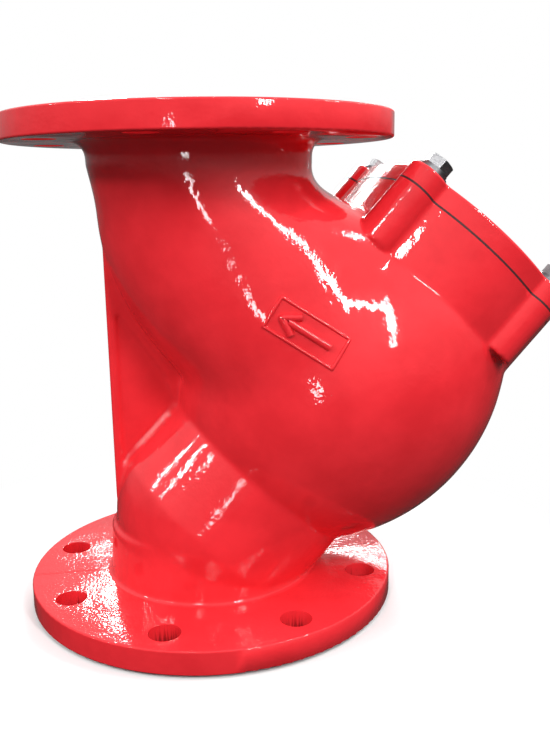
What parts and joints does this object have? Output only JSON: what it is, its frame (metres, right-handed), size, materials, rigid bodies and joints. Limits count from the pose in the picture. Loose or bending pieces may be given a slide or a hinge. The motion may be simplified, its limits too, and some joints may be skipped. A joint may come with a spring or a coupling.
{
  "type": "y strainer",
  "caption": "Flanged Y strainer: cast iron body, straight run between two flanges, slanted round branch with a removable perforated screen under a bolted lobed cover with a drain plug.",
  "frame": {"origin": "centre of the inlet flange's face", "axes": "+Z along the pipe run toward the outlet flange, +X toward the slanted branch; XZ is the mirror plane of the casting"},
  "size_m": [0.4186, 0.285, 0.37],
  "materials": {
    "red_enamel": "gloss enamel over a cast surface",
    "gasket_rubber": "matt",
    "stainless_sheet": "perforated sheet",
    "stainless_mesh": "fine woven mesh",
    "stainless_ring": "satin",
    "seal_rubber": "matt",
    "plug_brass": "machined",
    "washer_steel": "dull",
    "zinc_steel": "zinc plated"
  },
  "bodies": {
    "casting": {"body": "red_enamel", "gasket": "gasket_rubber"},
    "cover": {"cover": "red_enamel"},
    "screen": {"screen_sheet": "stainless_sheet", "screen_liner": "stainless_mesh", "screen_foot_ring": "stainless_ring", "screen_head_ring": "stainless_ring"},
    "washers_1": {"flat_washer_1": "washer_steel", "lock_washer_1": "washer_steel"},
    "bolt_1": {"bolt_1": "zinc_steel"},
    "washers_2": {"flat_washer_2": "washer_steel", "lock_washer_2": "washer_steel"},
    "bolt_2": {"bolt_2": "zinc_steel"},
    "washers_3": {"flat_washer_3": "washer_steel", "lock_washer_3": "washer_steel"},
    "bolt_3": {"bolt_3": "zinc_steel"},
    "washers_4": {"flat_washer_4": "washer_steel", "lock_washer_4": "washer_steel"},
    "bolt_4": {"bolt_4": "zinc_steel"},
    "plug_seal": {"plug_seal": "seal_rubber"},
    "drain_plug": {"drain_plug": "plug_brass"}
  },
  "joints": [
    {"name": "cover_lift", "type": "slide", "parent": "casting", "child": "cover", "axis": [0.6756, 0, 0.7373], "range_m": [0, 0.4]},
    {"name": "screen_draw", "type": "slide", "parent": "casting", "child": "screen", "axis": [0.6756, 0, 0.7373], "range_m": [0, 0.24]},
    {"name": "bolt_1_rise", "type": "slide", "parent": "cover", "child": "washers_1", "axis": [0.6756, 0, 0.7373], "range_m": [0, 0.0228]},
    {"name": "bolt_1_turn", "type": "hinge", "parent": "washers_1", "child": "bolt_1", "pos_m": [0.24454, 0.078, 0.24686], "axis": [0.6756, 0, 0.7373], "range_deg": [0, 5040]},
    {"name": "bolt_2_rise", "type": "slide", "parent": "cover", "child": "washers_2", "axis": [0.6756, 0, 0.7373], "range_m": [0, 0.0228]},
    {"name": "bolt_2_turn", "type": "hinge", "parent": "washers_2", "child": "bolt_2", "pos_m": [0.15754, 0.068, 0.32658], "axis": [0.6756, 0, 0.7373], "range_deg": [0, 5040]},
    {"name": "bolt_3_rise", "type": "slide", "parent": "cover", "child": "washers_3", "axis": [0.6756, 0, 0.7373], "range_m": [0, 0.0228]},
    {"name": "bolt_3_turn", "type": "hinge", "parent": "washers_3", "child": "bolt_3", "pos_m": [0.15754, -0.068, 0.32658], "axis": [0.6756, 0, 0.7373], "range_deg": [0, 5040]},
    {"name": "bolt_4_rise", "type": "slide", "parent": "cover", "child": "washers_4", "axis": [0.6756, 0, 0.7373], "range_m": [0, 0.0228]},
    {"name": "bolt_4_turn", "type": "hinge", "parent": "washers_4", "child": "bolt_4", "pos_m": [0.24454, -0.078, 0.24686], "axis": [0.6756, 0, 0.7373], "range_deg": [0, 5040]},
    {"name": "plug_rise", "type": "slide", "parent": "cover", "child": "plug_seal", "axis": [0.6756, 0, 0.7373], "range_m": [0, 0.0164]},
    {"name": "plug_turn", "type": "hinge", "parent": "plug_seal", "child": "drain_plug", "pos_m": [0.20842, 0, 0.28145], "axis": [0.6756, 0, 0.7373], "range_deg": [0, 3600]}
  ],
  "couplings": [
    {"joint": "screen_draw", "follows": "cover_lift", "ratio": 0.6},
    {"joint": "bolt_1_turn", "follows": "bolt_1_rise", "rad_per_m": 3590.4},
    {"joint": "bolt_2_turn", "follows": "bolt_2_rise", "rad_per_m": 3590.4},
    {"joint": "bolt_3_turn", "follows": "bolt_3_rise", "rad_per_m": 3590.4},
    {"joint": "bolt_4_turn", "follows": "bolt_4_rise", "rad_per_m": 3590.4},
    {"joint": "plug_turn", "follows": "plug_rise", "rad_per_m": 3463.7}
  ]
}
